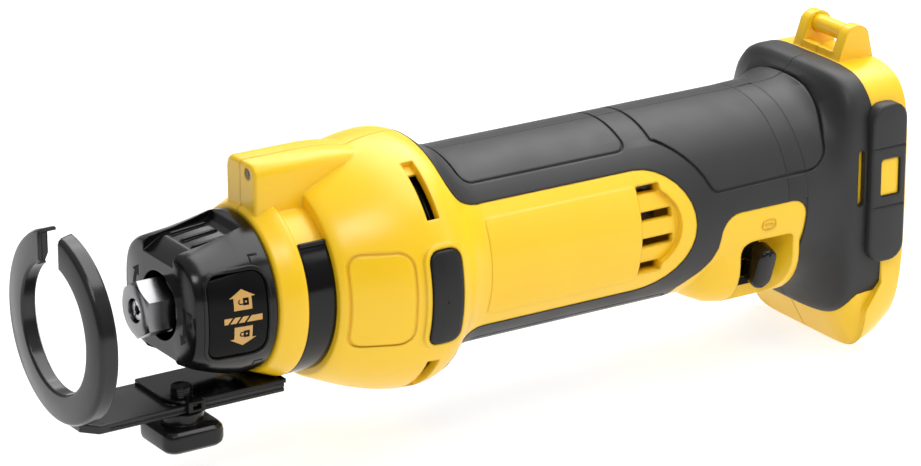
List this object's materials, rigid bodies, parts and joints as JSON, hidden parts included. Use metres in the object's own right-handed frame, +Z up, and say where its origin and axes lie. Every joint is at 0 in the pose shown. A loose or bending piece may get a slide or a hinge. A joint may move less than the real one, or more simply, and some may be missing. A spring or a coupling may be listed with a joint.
{
  "type": "drywall cut out tool",
  "caption": "Cordless drywall cut-out tool: barrel housing with rubber grips, collet nose with twist collar, sliding depth guide and a slide-on battery foot.",
  "frame": {"origin": "centre of the collet's mouth on the spindle axis", "axes": "+X along the spindle, out of the nose; +Y to the tool's left; +Z up, away from the depth guide's arm"},
  "size_m": [0.3139, 0.089, 0.1129],
  "materials": {
    "yellow_plastic": "moulded, satin",
    "dark_rubber": "soft, matt",
    "black_plastic": "moulded, satin",
    "clear_lens": "clear",
    "circuit_board": "lacquered",
    "bright_steel": "turned",
    "dark_steel": "turned, oiled",
    "magnet": "sintered",
    "brass": "bare",
    "carbon": "pressed carbon",
    "copper": "lacquered wire and bars",
    "black_metal": "black coating, glossy"
  },
  "bodies": {
    "housing": {"housing_left": "yellow_plastic", "housing_right": "yellow_plastic", "grip_left": "dark_rubber", "grip_right": "dark_rubber", "bulge_pad_left": "dark_rubber", "bulge_pad_right": "dark_rubber", "foot_bumper_left": "dark_rubber", "foot_bumper_right": "dark_rubber", "lamp_lens": "clear_lens", "lamp_board": "circuit_board", "hang_pin": "yellow_plastic", "case_screws": "bright_steel", "bearing_carrier": "bright_steel", "front_bearing": "bright_steel", "rear_bearing": "bright_steel", "motor_can": "bright_steel", "field_magnets": "magnet", "brush_holders": "brass", "carbon_brushes": "carbon", "switch_module": "black_plastic", "terminal_block": "black_plastic", "terminal_blades": "brass", "guide_bracket": "black_metal"},
    "spindle": {"spindle": "bright_steel", "armature_core": "dark_steel", "windings": "copper", "commutator": "copper", "cooling_fan": "black_plastic", "collet": "bright_steel", "collet_nut": "dark_steel"},
    "collar": {"bit_change_collar": "black_plastic"},
    "pad_left": {"squeeze_pad_left": "black_plastic"},
    "pad_right": {"squeeze_pad_right": "black_plastic"},
    "switch": {"switch_slider": "black_plastic"},
    "guide": {"depth_guide": "black_metal"},
    "knob": {"clamp_knob": "black_plastic", "clamp_screw": "black_metal"}
  },
  "joints": [
    {"name": "spindle_spin", "type": "hinge", "parent": "housing", "child": "spindle", "pos_m": [0, 0, 0], "axis": [1, 0, 0], "continuous": true},
    {"name": "collar_turn", "type": "hinge", "parent": "housing", "child": "collar", "pos_m": [-0.022, 0, 0], "axis": [1, 0, 0], "range_deg": [-45, 45]},
    {"name": "pad_left_press", "type": "slide", "parent": "collar", "child": "pad_left", "axis": [0, -1, 0], "range_m": [0, 0.002], "stiffness_N_per_m": 600},
    {"name": "pad_right_press", "type": "slide", "parent": "collar", "child": "pad_right", "axis": [0, 1, 0], "range_m": [0, 0.002], "stiffness_N_per_m": 600},
    {"name": "switch_slide", "type": "slide", "parent": "housing", "child": "switch", "axis": [1, 0, 0], "range_m": [0, 0.006]},
    {"name": "guide_slide", "type": "slide", "parent": "housing", "child": "guide", "axis": [1, 0, 0], "range_m": [-0.002, 0.026]},
    {"name": "knob_turn", "type": "hinge", "parent": "housing", "child": "knob", "pos_m": [-0.011, 0.0076, -0.04], "axis": [0, 0, 1], "range_deg": [0, 360]}
  ]
}
